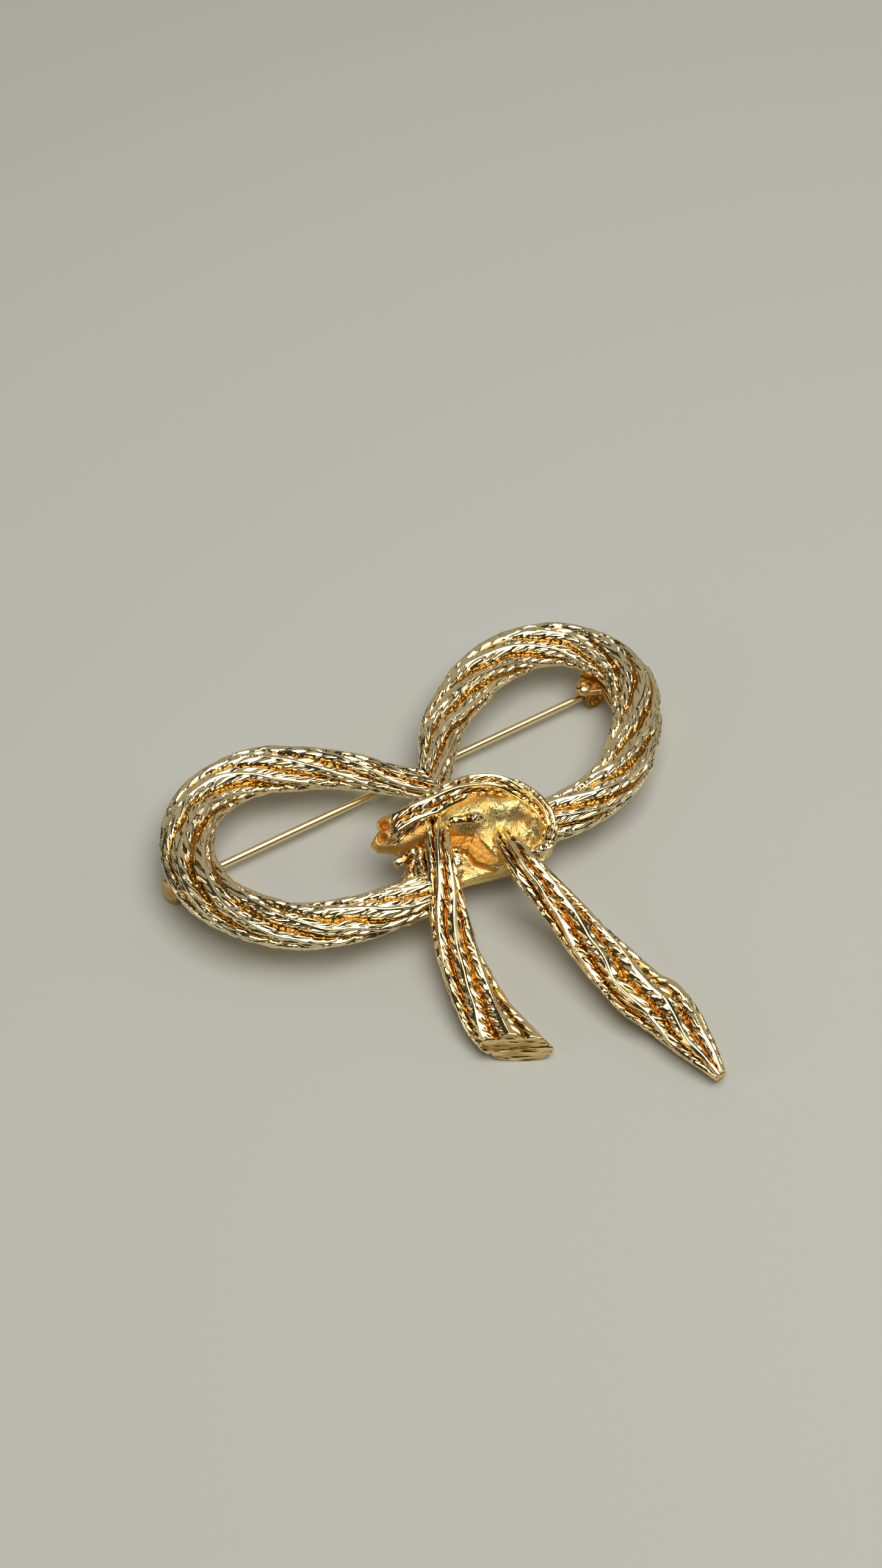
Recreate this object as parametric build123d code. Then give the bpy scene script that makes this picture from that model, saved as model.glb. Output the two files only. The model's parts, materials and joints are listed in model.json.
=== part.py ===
from build123d import *
import math
import os

# Bow brooch: two rope loops, a knot with two tails, and a pin hinged at the back.
# Millimetres. X runs across the bow, +Y away from the tails, +Z is the front.
# While it is built, X = 0 is the bow's middle, Y = 0 the loops' middle and Z = 0
# the surface that it lies on. At the end all of it moves to its own box's middle.

# Loops of rope
bow_width = 63.6
loop_height = 30.9
rope_width = 6.2
rope_height = 4.4
rope_back = 1.6
back_lift = 3.2
arm_meeting_angle = 52.0
mitre_length = 6.0

# Twisted strands cast in the rope
rope_strands = 7
band_strands = 6
strand_turn_length = 56.0
tail_turn_length = 90.0
groove_depth = 0.5
bar_depth = 0.26
bar_pitch = 1.6

# Knot band and the scooped core under it
band_reach = 8.6
band_depth = 10.0
band_width = 3.7
band_height = 4.2
band_back = 1.9
band_rise = 8.5
band_end_slant = -0.8
band_slant_length = 5.0
band_socket_radius = 0.55
band_socket_depth = 0.9
band_socket_spacing = 1.85
core_width = 16.4
core_length = 11.0
core_left = 0.8
core_down = 7.6
core_bottom = 3.5
core_rise = 8.3
core_edge_rise = 5.2
scoop_radius = 7.0
scoop_floor = 5.7
scoop_right = 2.6
scoop_down = 12.0

# Tails, measured down from the loops' middle
left_tail_end = 33.0
right_tail_end = 47.0
tail_spread = 10.0
tail_width = 6.2
tail_height = 3.7
tail_back = 1.7
tail_rise = 7.4
left_tail_cut = -0.76

# Pin stem, hinge and catch
pin_height = 1.5
pin_offset = 4.6
hinge_inset = 6.3
catch_inset = -0.2
stem_diameter = 0.9
stem_point_length = 4.0
stem_tip_diameter = 0.14
eye_diameter = 2.1
eye_thickness = 1.0
eye_clearance = 0.12
rivet_diameter = 0.9
rivet_clearance = 0.06
rivet_head_diameter = 1.7
rivet_head_height = 0.35
ear_thickness = 0.6
plate_length = 5.4
plate_width = 4.4
plate_thickness = 0.7
solder_sink = 0.25
catch_width = 1.6
catch_wall = 0.6
catch_mouth = 1.1

# How finely the rope and the knot are faceted
strand_columns = 3
curve_parts = 24
core_rings = 7
core_sides = 32

row_step = bar_pitch / 2
rope_axis = back_lift + rope_back
loop_reach = (bow_width - rope_width) / 2
loop_half = (loop_height - rope_width) / 2
hinge_reach = bow_width / 2 - hinge_inset
catch_reach = bow_width / 2 - catch_inset

# Centre line of the loops, once round from the meeting of the two upper arms:
# across (of loop_reach), up (of loop_half), width (of rope_width), height (of rope_height)
loop_rows = [
    (0.000, -0.02, 0.69, 0.86),
    (-0.085, 0.20, 0.68, 0.89),
    (-0.243, 0.555, 0.81, 0.95),
    (-0.472, 0.90, 1.00, 1.00),
    (-0.682, 1.00, 1.03, 1.00),
    (-0.873, 0.80, 1.03, 1.00),
    (-0.990, 0.37, 1.00, 1.00),
    (-0.985, -0.12, 0.98, 1.00),
    (-0.880, -0.56, 0.95, 1.00),
    (-0.700, -0.87, 0.92, 1.00),
    (-0.460, -0.99, 0.89, 1.00),
    (-0.220, -0.965, 0.79, 0.95),
    (0.030, -0.90, 0.68, 0.86),
    (0.270, -0.92, 0.84, 0.91),
    (0.460, -0.93, 0.95, 0.98),
    (0.670, -0.80, 0.97, 1.00),
    (0.850, -0.46, 0.97, 1.00),
    (0.985, 0.00, 0.95, 1.00),
    (0.990, 0.46, 0.95, 1.00),
    (0.880, 0.84, 0.98, 1.00),
    (0.680, 1.00, 1.06, 1.00),
    (0.436, 0.87, 1.01, 1.00),
    (0.203, 0.535, 0.85, 0.95),
    (0.082, 0.20, 0.68, 0.89),
]

# Centre lines of the knot band and the tails. The band's lengths are shares of
# band_reach, band_depth and band_rise, and then of band_width and band_height.
# across, up, rise, width, height
band_rows = [
    (-1.02, -0.555, 0.76, 1.00, 1.00),
    (-0.84, -0.55, 0.84, 1.00, 1.00),
    (-0.44, -0.54, 0.95, 0.97, 1.00),
    (0.02, -0.52, 1.00, 0.92, 1.00),
    (0.42, -0.63, 0.97, 0.86, 1.00),
    (0.70, -0.86, 0.86, 0.81, 1.00),
    (0.85, -1.12, 0.70, 0.74, 0.92),
    (0.80, -1.33, 0.58, 0.66, 0.80),
    (0.65, -1.45, 0.51, 0.56, 0.70),
]

# across (of tail_spread), up (of the tail's end), rise (of tail_rise), width (of
# tail_width), height (of tail_height)
left_tail_rows = [
    (-0.30, -0.18, 0.98, 0.44, 0.70),
    (-0.47, -0.27, 0.98, 0.50, 0.86),
    (-0.62, -0.37, 0.93, 0.54, 0.90),
    (-0.83, -0.52, 0.65, 0.71, 0.92),
    (-0.98, -0.68, 0.41, 0.83, 0.94),
    (-1.05, -0.83, 0.28, 0.94, 0.94),
    (-1.03, -0.92, 0.24, 0.98, 0.86),
    (-1.00, -1.00, 0.21, 1.00, 0.80),
]
right_tail_rows = [
    (0.22, -0.19, 0.74, 0.34, 0.50),
    (0.16, -0.26, 0.97, 0.48, 0.85),
    (0.15, -0.35, 0.97, 0.57, 0.95),
    (0.23, -0.45, 0.75, 0.70, 1.00),
    (0.32, -0.55, 0.56, 0.84, 1.00),
    (0.38, -0.65, 0.44, 0.97, 1.00),
    (0.46, -0.74, 0.36, 1.06, 1.00),
    (0.56, -0.785, 0.32, 1.12, 1.00),
    (0.60, -0.83, 0.28, 0.97, 0.95),
    (0.61, -0.91, 0.23, 0.58, 0.85),
    (0.63, -1.00, 0.17, 0.16, 0.50),
]


def smooth_rows(rows, step):
    """Rows along a smooth curve through the given ones, about step apart."""
    before = [2 * a - b for a, b in zip(rows[0], rows[1])]
    after = [2 * a - b for a, b in zip(rows[-1], rows[-2])]
    knots = [before] + [list(row) for row in rows] + [after]
    fine = []
    for p0, p1, p2, p3 in zip(knots, knots[1:], knots[2:], knots[3:]):
        for part in range(curve_parts):
            t = part / curve_parts
            fine.append([curve_value(a, b, c, d, t) for a, b, c, d in zip(p0, p1, p2, p3)])
    fine.append(list(rows[-1]))
    reach = [0.0]
    for a, b in zip(fine, fine[1:]):
        reach.append(reach[-1] + math.dist(a[:3], b[:3]))
    count = max(2, round(reach[-1] / step))
    even = []
    place = 0
    for k in range(count + 1):
        target = reach[-1] * k / count
        while place < len(reach) - 2 and reach[place + 1] < target:
            place += 1
        t = (target - reach[place]) / (reach[place + 1] - reach[place])
        even.append([a + (b - a) * t for a, b in zip(fine[place], fine[place + 1])])
    return even, reach[-1]


def curve_value(a, b, c, d, t):
    """One value of a Catmull-Rom curve from b to c."""
    return b + 0.5 * t * (c - a + t * (2 * a - 5 * b + 4 * c - d + t * (3 * (b - c) + d - a)))


def relief(column, row):
    """Depth below the crest: a smooth crest, a slope of slanted bars, then a groove."""
    part = column % strand_columns
    if part == 0:
        return 0.0
    if part == 1:
        return groove_depth / 2 + bar_depth * (0.5 if row % 2 else -0.5)
    return groove_depth


def rope_rings(stations, strands, turns, back, shear):
    """Rings of points round a rope. turns is its whole twist, back the depth of its
    flat back, and shear(share) slants the rings along the rope."""
    columns = strands * strand_columns
    last = len(stations) - 1
    rings = []
    for row, (x, y, z, width, height) in enumerate(stations):
        ahead = Vector(*stations[min(row + 1, last)][:3])
        behind = Vector(*stations[max(row - 1, 0)][:3])
        along = (ahead - behind).normalized()
        side = along.cross(Vector(0, 0, 1)).normalized()
        up = side.cross(along)
        lean = side + along * shear(row / last)
        ring = []
        for column in range(columns):
            angle = 2 * math.pi * (column / columns - turns * row / last)
            depth = relief(column, row)
            across = (width / 2 - depth) * math.cos(angle)
            rise = max((height / 2 - depth) * math.sin(angle), -back)
            ring.append(Vector(x, y, z) + lean * across + up * rise)
        rings.append(ring)
    return rings


def skin(rings, closing_shift=None):
    """A closed solid of triangles over rings of points: capped at both ends, or with
    its last ring joined to its first, that many columns on."""
    columns = len(rings[0])
    faces = []

    def triangle(a, b, c):
        faces.append(Face(Wire.make_polygon([a, b, c])))

    def strip(lower, upper):
        for column in range(columns):
            beside = (column + 1) % columns
            triangle(lower[column], lower[beside], upper[beside])
            triangle(lower[column], upper[beside], upper[column])

    for lower, upper in zip(rings, rings[1:]):
        strip(lower, upper)
    if closing_shift is None:
        for ring in (rings[0], rings[-1]):
            middle = sum(ring, Vector(0, 0, 0)) / columns
            for column in range(columns):
                triangle(middle, ring[column], ring[(column + 1) % columns])
    else:
        first = [rings[0][(column + closing_shift) % columns] for column in range(columns)]
        strip(rings[-1], first)
    return Solid(Shell(faces))


def rope_loops():
    """Both loops: one closed rope, mitred where the two upper arms meet."""
    rows = [(x * loop_reach, y * loop_half, rope_axis, w * rope_width, h * rope_height)
            for x, y, w, h in loop_rows]
    stations, length = smooth_rows(rows + rows[:1], row_step)
    if len(stations) % 2 == 0:
        stations, length = smooth_rows(rows + rows[:1], length / len(stations))
    strand_steps = round(length / strand_turn_length * rope_strands)
    slant = math.tan(math.radians(arm_meeting_angle))
    fade = mitre_length / length

    def mitre(share):
        return slant * (max(0, 1 - share / fade) - max(0, 1 - (1 - share) / fade))

    rings = rope_rings(stations, rope_strands, strand_steps / rope_strands, rope_back, mitre)
    return skin(rings[:-1], -strand_steps * strand_columns)


def knot_band():
    """The rope that wraps over the middle, with two hollow ends at its left."""
    rows = [(x * band_reach, y * band_depth, z * band_rise, w * band_width, h * band_height)
            for x, y, z, w, h in band_rows]
    stations, length = smooth_rows(rows, row_step)

    def start_slant(share):
        return band_end_slant * max(0, 1 - share * length / band_slant_length)

    turns = length / strand_turn_length
    band = skin(rope_rings(stations, band_strands, turns, band_back, start_slant))
    start = Vector(*stations[0][:3])
    along = (Vector(*stations[1][:3]) - start).normalized()
    side = along.cross(Vector(0, 0, 1)).normalized() + along * band_end_slant
    sockets = []
    for way in (-1, 1):
        mouth = Plane(start + side * way * band_socket_spacing / 2, z_dir=along)
        sockets.append(mouth * Cylinder(band_socket_radius, 2 * band_socket_depth))
    return band, sockets


def tail(rows, end, cut):
    """One tail. cut is the slant of its end, as length along for each width across."""
    rows = [(x * tail_spread, y * end, z * tail_rise, w * tail_width, h * tail_height)
            for x, y, z, w, h in rows]
    stations, length = smooth_rows(rows, row_step)

    def end_slant(share):
        return cut * max(0, 1 - (1 - share) * length / tail_width)

    turns = length / tail_turn_length
    return skin(rope_rings(stations, rope_strands, turns, tail_back, end_slant))


def core_top(x, y):
    """Height of the core's front: a low dome with a round scoop out of it."""
    across_share = (x + core_left) / (core_width / 2)
    down_share = (y + core_down) / (core_length / 2)
    share = math.hypot(across_share, down_share)
    dome = core_edge_rise + (core_rise - core_edge_rise) * math.sqrt(max(0, 1 - share ** 2))
    off = math.hypot(x - scoop_right, y + scoop_down)
    if off >= scoop_radius:
        return dome
    return min(dome, scoop_floor + scoop_radius - math.sqrt(scoop_radius ** 2 - off ** 2))


def knot_core():
    """The lump under the band, flat behind, domed and scooped in front."""

    def oval(share):
        angles = [2 * math.pi * side / core_sides for side in range(core_sides)]
        return [(share * core_width / 2 * math.cos(angle) - core_left,
                 share * core_length / 2 * math.sin(angle) - core_down) for angle in angles]

    rings = [[Vector(x, y, core_bottom) for x, y in oval(1)]]
    for level in range(core_rings):
        rings.append([Vector(x, y, core_top(x, y)) for x, y in oval(1 - level / core_rings)])
    return skin(rings)


def across_pin(x, y):
    """A plane for what is turned about an axis along Y, at the pin's height."""
    return Plane((x, y, pin_height), x_dir=(1, 0, 0), z_dir=(0, 1, 0))


def hinge_bracket():
    """Plate soldered to the rope's back, with two round ears for the rivet. The ears
    reach down to the surface."""
    ear_radius = pin_height
    ear_spacing = eye_thickness + 2 * eye_clearance + ear_thickness
    plate_middle = back_lift + solder_sink - plate_thickness / 2
    web_height = plate_middle - pin_height
    plate_start = hinge_reach - ear_radius / 2
    bracket = Pos(plate_start + plate_length / 2, pin_offset, plate_middle) * Box(
        plate_length, plate_width, plate_thickness)
    for way in (-1, 1):
        y = pin_offset + way * ear_spacing / 2
        ear = across_pin(hinge_reach, y) * Cylinder(ear_radius, ear_thickness)
        web = Pos(hinge_reach, y, pin_height + web_height / 2) * Box(
            2 * ear_radius, ear_thickness, web_height)
        bore = across_pin(hinge_reach, y) * Cylinder(
            rivet_diameter / 2 + rivet_clearance, 2 * ear_thickness)
        bracket = bracket + ear + web - bore
    return bracket


def hinge_rivet():
    """Rivet through both ears, with a low round head outside each."""
    outside = eye_thickness / 2 + eye_clearance + ear_thickness + rivet_clearance
    rivet = across_pin(hinge_reach, pin_offset) * Cylinder(
        rivet_diameter / 2, 2 * outside + rivet_head_height)
    for way in (-1, 1):
        middle = (hinge_reach, pin_offset + way * (outside + rivet_head_height / 2), pin_height)
        rivet = rivet + Plane(middle, x_dir=(1, 0, 0), z_dir=(0, way, 0)) * Cone(
            rivet_head_diameter / 2, rivet_diameter / 2, rivet_head_height)
    return rivet


def pin_stem():
    """Straight pin wire, pointed, with a flat eye turned on the rivet."""
    radius = stem_diameter / 2
    tip = -catch_reach
    shoulder = tip + stem_point_length
    wire_length = hinge_reach - eye_diameter / 2 + radius - shoulder
    from_end = (Align.CENTER, Align.CENTER, Align.MIN)
    wire = Plane((shoulder, pin_offset, pin_height), z_dir=(1, 0, 0)) * Cylinder(
        radius, wire_length, align=from_end)
    point = Plane((shoulder, pin_offset, pin_height), z_dir=(-1, 0, 0)) * Cone(
        radius, stem_tip_diameter / 2, stem_point_length, align=from_end)
    eye = across_pin(hinge_reach, pin_offset) * Cylinder(eye_diameter / 2, eye_thickness)
    bore = across_pin(hinge_reach, pin_offset) * Cylinder(
        rivet_diameter / 2 + rivet_clearance, 2 * eye_thickness)
    return wire + point + eye - bore


def catch():
    """Plain C hook, soldered to the rope's back, open on its upper side."""
    middle = -catch_reach + catch_width / 2
    outer = pin_height
    inner = outer - catch_wall
    turned = Plane((middle, pin_offset, pin_height), x_dir=(0, 1, 0), z_dir=(1, 0, 0))
    hook = turned * (Cylinder(outer, catch_width) - Cylinder(inner, 2 * catch_width))
    hook = hook - Pos(middle, pin_offset + outer, pin_height + catch_mouth / 2) * Box(
        2 * catch_width, 2 * catch_wall + inner, catch_mouth)
    root_height = back_lift + solder_sink - pin_height - inner
    root = Pos(middle, pin_offset - inner / 2, pin_height + inner + root_height / 2) * Box(
        catch_width, outer, root_height)
    return hook + root


band, sockets = knot_band()
castings = [
    knot_core(),
    band.cut(*sockets).solids()[0],
    tail(left_tail_rows, left_tail_end, left_tail_cut),
    tail(right_tail_rows, right_tail_end, 0),
    hinge_bracket().solid(),
    catch().solid(),
]
bow = rope_loops().fuse(*castings)

nodes = {"bow": bow, "hinge_rivet": hinge_rivet(), "pin_stem": pin_stem()}
whole = Compound(children=[node.solid() for node in nodes.values()]).bounding_box()
to_middle = Pos(-whole.center().X, -whole.center().Y, -whole.min.Z)
os.makedirs("parts", exist_ok=True)
for name, node in nodes.items():
    export_step(to_middle * node.solid(), f"parts/{name}.step", write_pcurves=False)
print("box", whole.size, "moved by", to_middle.position)
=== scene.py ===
import collections
import itertools
import json
import math

import bmesh
import bpy
import numpy as np
from mathutils import Matrix, Vector


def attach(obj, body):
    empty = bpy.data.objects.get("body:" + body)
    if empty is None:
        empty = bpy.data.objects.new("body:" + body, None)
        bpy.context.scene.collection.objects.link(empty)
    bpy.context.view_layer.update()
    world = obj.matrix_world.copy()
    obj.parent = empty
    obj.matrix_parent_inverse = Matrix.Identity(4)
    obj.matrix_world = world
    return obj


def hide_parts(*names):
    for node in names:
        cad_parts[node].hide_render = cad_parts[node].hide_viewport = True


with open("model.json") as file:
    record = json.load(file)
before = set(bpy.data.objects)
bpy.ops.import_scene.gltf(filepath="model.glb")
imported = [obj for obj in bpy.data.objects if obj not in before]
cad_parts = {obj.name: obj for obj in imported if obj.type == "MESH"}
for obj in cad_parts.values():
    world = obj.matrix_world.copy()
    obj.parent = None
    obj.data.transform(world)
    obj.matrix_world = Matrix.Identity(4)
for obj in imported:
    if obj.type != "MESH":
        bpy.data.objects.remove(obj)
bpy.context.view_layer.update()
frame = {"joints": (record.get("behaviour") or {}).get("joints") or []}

# Bow brooch: rope loops, knot, tails, hinge, rivet, catch and pin, cast and plated.
# Lengths are in millimetres until a mesh is made. A table holds shares of named sizes,
# unless the comment above it says millimetres or metres.
MM = 0.001

# Loops of rope
BOW_WIDTH = 63.6
LOOP_HEIGHT = 30.9
ROPE_WIDTH = 6.2
ROPE_HEIGHT = 4.4
ROPE_BACK = 1.6
BACK_LIFT = 3.2
ARM_MEETING_ANGLE = 52.0
MITRE_LENGTH = 6.0
BACK_SOFTNESS = 0.10
BACK_RELIEF = 0.10
ROPE_STRANDS = 7
BAND_STRANDS = 6
STRAND_TURN_LENGTH = 56.0
TAIL_TURN_LENGTH = 90.0

# Knot band and core
BAND_REACH = 8.6
BAND_DEPTH = 10.0
BAND_WIDTH = 3.7
BAND_HEIGHT = 4.2
BAND_BACK = 1.9
BAND_RISE = 8.5
BAND_END_SLANT = -0.8
BAND_SLANT_LENGTH = 5.0
BAND_END_ORANGE = 0.42
BAND_END_GRAIN = 0.06
UNDERSIDE_ORANGE = 0.55
UNDERSIDE_GRAIN = 0.05
WEB_ORANGE = 0.45
WEB_GRAIN = 0.15
CORE_WIDTH = 16.4
CORE_LENGTH = 11.0
CORE_LEFT = 0.8
CORE_DOWN = 7.6
CORE_BOTTOM = 3.0
CORE_RISE = 8.3
CORE_GRAIN = 0.050
CORE_GRAIN_SIZE = 0.42
CORE_ORANGE = 0.30
CORE_STAIN_SIZE = 1.4
CORE_PINHOLE = 0.005
FACE_EDGE = 0.06
CRACK_DEPTH = 0.45
CRACK_WIDTH = 0.13
GLINT_RISE = 0.12
GLINT_THICKNESS = 0.7

# The bowl's rough rim: how far it takes to build up, its slant, its grain, and how much
# paler the grain's tops are painted, as painted light, with painted shade in its dips
RIM_LENGTH = 2.2
RIM_SLOPE = 0.6
RIM_GRAIN = 0.10
RIM_PAINTED_LIGHT = 0.45

# The wall under the core: its bulge, its folds, and its foot, which ends higher at right
WALL_BULGE = 0.03
WALL_TAPER = 0.05
WALL_FOLD = 0.09
WALL_STRETCH = (0.30, 0.30, 1.0)
FOLD_GROWTH = 6
# how orange the wall is, more in its folds' dips as painted shade
WALL_ORANGE = 0.30
FOOT_LIFT = 1.7
FOOT_LIFT_LENGTH = 1.4

# Tails
LEFT_TAIL_END = 33.0
RIGHT_TAIL_END = 47.0
TAIL_SPREAD = 10.0
TAIL_WIDTH = 6.2
TAIL_HEIGHT = 3.7
TAIL_BACK = 1.7
TAIL_RISE = 7.4
LEFT_TAIL_CUT = -0.76
LEFT_TAIL_TILT = -0.55
TAIL_CALM_LENGTH = 3.0
TAIL_CALM = 0.45
TAIL_CALM_LOW = 0.50
TAIL_LOW_START = 0.4
TAIL_LOW_FULL = -0.6
CAP_LINE_HEIGHT = 0.05
CAP_LINE_STRETCH = (0.10, 0.10, 1.0)
CAP_FINE_STRETCH = (0.12, 0.12, 1.0)
CAP_PINHOLE = 0.02
CAP_ORANGE = 0.35

# Pin, hinge and catch
PIN_HEIGHT = 1.5
PIN_OFFSET = 4.6
HINGE_INSET = 6.3
CATCH_INSET = -0.2
STEM_DIAMETER = 0.9
STEM_POINT_LENGTH = 4.0
STEM_TIP_DIAMETER = 0.14
EYE_DIAMETER = 2.1
EYE_THICKNESS = 1.0
EYE_BEVEL = 0.15
EYE_CLEARANCE = 0.12
RIVET_CLEARANCE = 0.06
RIVET_HEAD_DIAMETER = 1.7
RIVET_HEAD_HEIGHT = 0.35
SUNK_HEAD_SHARE = 0.60
SUNK_HEAD_DEPTH = 0.15
EAR_THICKNESS = 0.6
EAR_RADIUS_SHARE = 0.83
EAR_TOP_DROP = 0.2
EAR_TOP_LEFT = 0.5
EAR_TURN = (170, 370)
EAR_RECESS_RADIUS = 0.98
EAR_RECESS_DEPTH = 0.42
PLATE_LENGTH = 5.4
PLATE_WIDTH = 4.4
PLATE_THICKNESS = 0.7
PLATE_NEAR_START = 2.6
PLATE_FAR_START = 1.5
DISC_RADIUS = 0.93
PLATE_END_SHARE = 0.9
DISC_BEFORE_AXIS = 1.3
DISC_BELOW_PIN = 0.24
DIMPLE_RADIUS = 0.30
DIMPLE_DEPTH = 0.26
SOLDER_SINK = 0.25
HINGE_ORANGE = 0.35
# how much more orange the plate's underside is: painted shade under it
UNDER_PLATE_SHADE = 0.5
CATCH_ORANGE = 0.45
FINDINGS_STAINS = 0.25
CATCH_WIDTH = 1.6
CATCH_WALL = 0.6
CATCH_TUCK = 0.20
TAB_WIDTH = 1.7
TAB_SLANT = 0.44
HOOK_SLANT = 0.30
HOOK_TURN = 270

ROPE_AXIS = BACK_LIFT + ROPE_BACK
LOOP_REACH = (BOW_WIDTH - ROPE_WIDTH) / 2
LOOP_HALF = (LOOP_HEIGHT - ROPE_WIDTH) / 2
HINGE_REACH = BOW_WIDTH / 2 - HINGE_INSET
CATCH_REACH = BOW_WIDTH / 2 - CATCH_INSET
CATCH_LEFT = -CATCH_REACH + CATCH_TUCK
NEAR_EAR = PIN_OFFSET - EYE_THICKNESS / 2 - EYE_CLEARANCE - EAR_THICKNESS
FAR_EAR = PIN_OFFSET + EYE_THICKNESS / 2 + EYE_CLEARANCE
SOLDER_HEIGHT = BACK_LIFT + SOLDER_SINK

# Where the bow's own middle lies in the frame, from the hinge's axis
HINGE_AXIS = np.array(frame["joints"][0]["pos_m"]) / MM
BOW_ORIGIN = HINGE_AXIS - (HINGE_REACH, PIN_OFFSET, PIN_HEIGHT)

# How fine the surfaces are
ROPE_STEP = 0.13
FRONT_COLUMNS = 128
BACK_COLUMNS = 8
CAP_RINGS = 30
CORE_STEP = 0.15
CORE_RINGS = 90
WALL_RINGS = 24
BALL_POINTS = 240
CURVE_PARTS = 48
LATTICE = 64
FINER_SHARE = 0.6

# Camera, from the photo: its turn about the bow, its angle above the floor and its roll
CAMERA_LENS = 51.85
SENSOR_WIDTH = 36
CAMERA_TURN = 33.4
CAMERA_HEIGHT_ANGLE = 49.7
CAMERA_ROLL = 1.4
CAMERA_DISTANCE = 262.1
CAMERA_AIM = (3.395, 2.925, 0)

# Floor, room and lights, with lengths in metres. A light has its name, place, size,
# radiance and colour.
FLOOR_HALF = 1.5
FLOOR_COLOUR = (0.655, 0.665, 0.60)
FLOOR_ROUGHNESS = 0.8
ROOM_COLOUR = (0.80, 0.79, 0.76)
ROOM_STRENGTH = 0.05
WARM_WHITE = (1.0, 0.98, 0.95)
LIGHTS = [
    ("overhead", (0.05, -0.10, 0.50), (0.50, 0.44), 2.95, WARM_WHITE),
    ("far_wall", (0.40, 0.61, 0.52), (1.4, 0.88), 0.33, (1.0, 0.95, 0.86)),
    ("left_wall", (-0.75, 0.15, 0.35), (0.45, 0.45), 1.1, WARM_WHITE),
    ("right_wall", (0.75, -0.35, 0.30), (0.45, 0.45), 0.8, WARM_WHITE),
]

# across (of LOOP_REACH), up (of LOOP_HALF), width (of ROPE_WIDTH), height (of ROPE_HEIGHT)
LOOP_ROWS = [
    (0.000, -0.02, 0.69, 0.86),
    (-0.085, 0.175, 0.58, 0.82),
    (-0.243, 0.545, 0.76, 0.95),
    (-0.472, 0.90, 1.00, 1.00),
    (-0.682, 1.00, 1.03, 1.00),
    (-0.873, 0.80, 1.03, 1.00),
    (-0.990, 0.37, 1.00, 1.00),
    (-0.985, -0.12, 0.98, 1.00),
    (-0.880, -0.56, 0.95, 1.00),
    (-0.700, -0.87, 0.92, 1.00),
    (-0.460, -1.01, 0.88, 1.00),
    (-0.230, -1.05, 0.70, 0.90),
    (-0.165, -0.97, 0.42, 0.28),
    (0.020, -0.90, 0.38, 0.26),
    (0.270, -0.92, 0.84, 0.91),
    (0.460, -0.93, 0.95, 0.98),
    (0.670, -0.80, 0.97, 1.00),
    (0.850, -0.46, 0.97, 1.00),
    (0.985, 0.00, 0.95, 1.00),
    (0.990, 0.46, 0.95, 1.00),
    (0.880, 0.84, 0.98, 1.00),
    (0.680, 1.00, 1.06, 1.00),
    (0.436, 0.87, 1.01, 1.00),
    (0.203, 0.535, 0.85, 0.95),
    (0.082, 0.20, 0.68, 0.89),
]

# across (of BAND_REACH), up (of BAND_DEPTH), rise (of BAND_RISE), width (of
# BAND_WIDTH), height (of BAND_HEIGHT)
BAND_ROWS = [
    (-0.90, -0.53, 0.83, 0.96, 0.94),
    (-0.80, -0.53, 0.87, 1.00, 1.00),
    (-0.44, -0.53, 0.95, 0.97, 1.00),
    (0.02, -0.52, 1.00, 0.86, 0.92),
    (0.44, -0.60, 1.00, 0.68, 0.80),
    (0.735, -0.80, 0.92, 0.60, 0.72),
    (0.905, -1.06, 0.79, 0.55, 0.70),
    (0.895, -1.28, 0.67, 0.51, 0.68),
    (0.80, -1.38, 0.59, 0.40, 0.52),
]

# across (of TAIL_SPREAD), up (of the tail's end), rise (of TAIL_RISE), width (of
# TAIL_WIDTH), height (of TAIL_HEIGHT)
LEFT_TAIL_ROWS = [
    (-0.30, -0.18, 0.98, 0.44, 0.70),
    (-0.47, -0.27, 0.98, 0.50, 0.86),
    (-0.62, -0.37, 0.93, 0.54, 0.90),
    (-0.83, -0.52, 0.65, 0.71, 0.92),
    (-0.98, -0.68, 0.41, 0.83, 0.94),
    (-1.05, -0.83, 0.28, 0.94, 0.94),
    (-1.03, -0.92, 0.25, 0.98, 0.90),
    (-1.00, -1.00, 0.23, 1.00, 0.88),
]
RIGHT_TAIL_ROWS = [
    (0.27, -0.20, 0.90, 0.12, 0.20),
    (0.18, -0.26, 0.94, 0.40, 0.62),
    (0.15, -0.35, 0.97, 0.57, 0.95),
    (0.23, -0.45, 0.75, 0.70, 1.00),
    (0.32, -0.55, 0.56, 0.84, 1.00),
    (0.38, -0.65, 0.44, 0.97, 1.00),
    (0.46, -0.74, 0.36, 1.06, 1.00),
    (0.56, -0.785, 0.32, 1.12, 1.00),
    (0.60, -0.83, 0.28, 1.00, 0.95),
    (0.615, -0.91, 0.23, 0.71, 0.85),
    (0.63, -1.00, 0.17, 0.22, 0.50),
]

# Steps of a rivet's domed head: share of its height and of its radius
DOME = [(0.0, 0.01), (0.02, 0.35), (0.10, 0.65), (0.22, 0.88), (0.32, 0.98), (1.0, 1.0)]

# Steps of the hinge plate's disc: share of its radius, millimetres above the plate's top
DISC = [(1.00, -0.20), (1.00, 0.05), (0.78, 0.24), (0.45, 0.32)]

# Solder along the hinge's plate, in millimetres: across from the plate's end, up, rise
# and radius
SOLDER = [(-3.8, 3.4, 2.9, 0.60), (-4.2, 1.6, 3.2, 0.55), (-4.7, 0.0, 3.4, 0.30)]

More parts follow.
